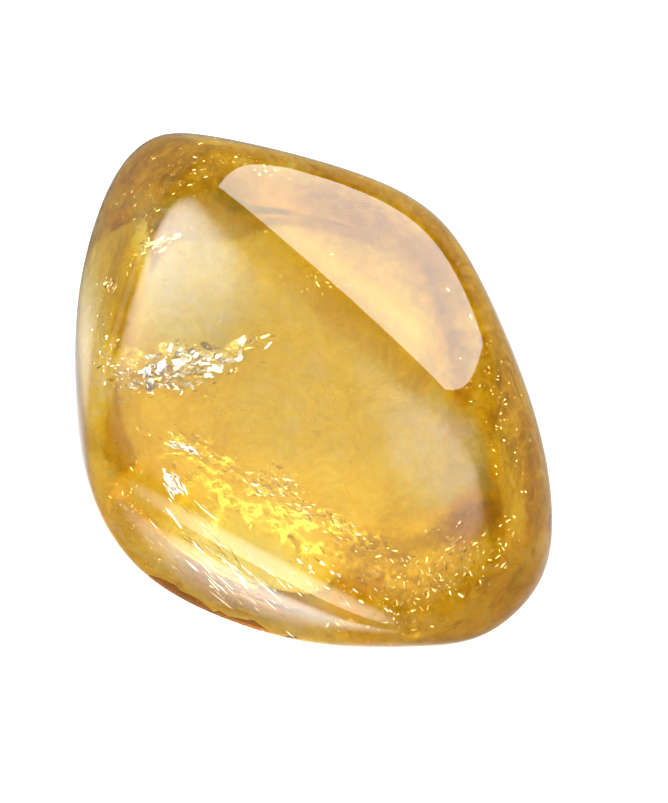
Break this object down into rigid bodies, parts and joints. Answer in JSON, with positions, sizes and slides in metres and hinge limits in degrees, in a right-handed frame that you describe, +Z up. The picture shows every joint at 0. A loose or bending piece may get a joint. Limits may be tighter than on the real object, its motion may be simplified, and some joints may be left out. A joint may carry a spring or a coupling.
{
  "type": "tumbled citrine stone",
  "caption": "Polished, see-through honey-yellow citrine pebble with broad soft faces and inner fractures, lying on its flat worn side; for display or as a decorative stone.",
  "frame": {"origin": "on the ground under the middle of the stone's box, with the worn flat side on the ground", "axes": "+X along the longest way, from the narrow head to the blunt end; +Y across, towards the long shoulder; +Z up, the stone's shortest way"},
  "size_m": [0.0282, 0.0216, 0.0148],
  "materials": {
    "citrine": "tumble-polished natural stone, clear with inner fractures"
  },
  "bodies": {
    "root": {"citrine_stone": "citrine"}
  },
  "joints": []
}
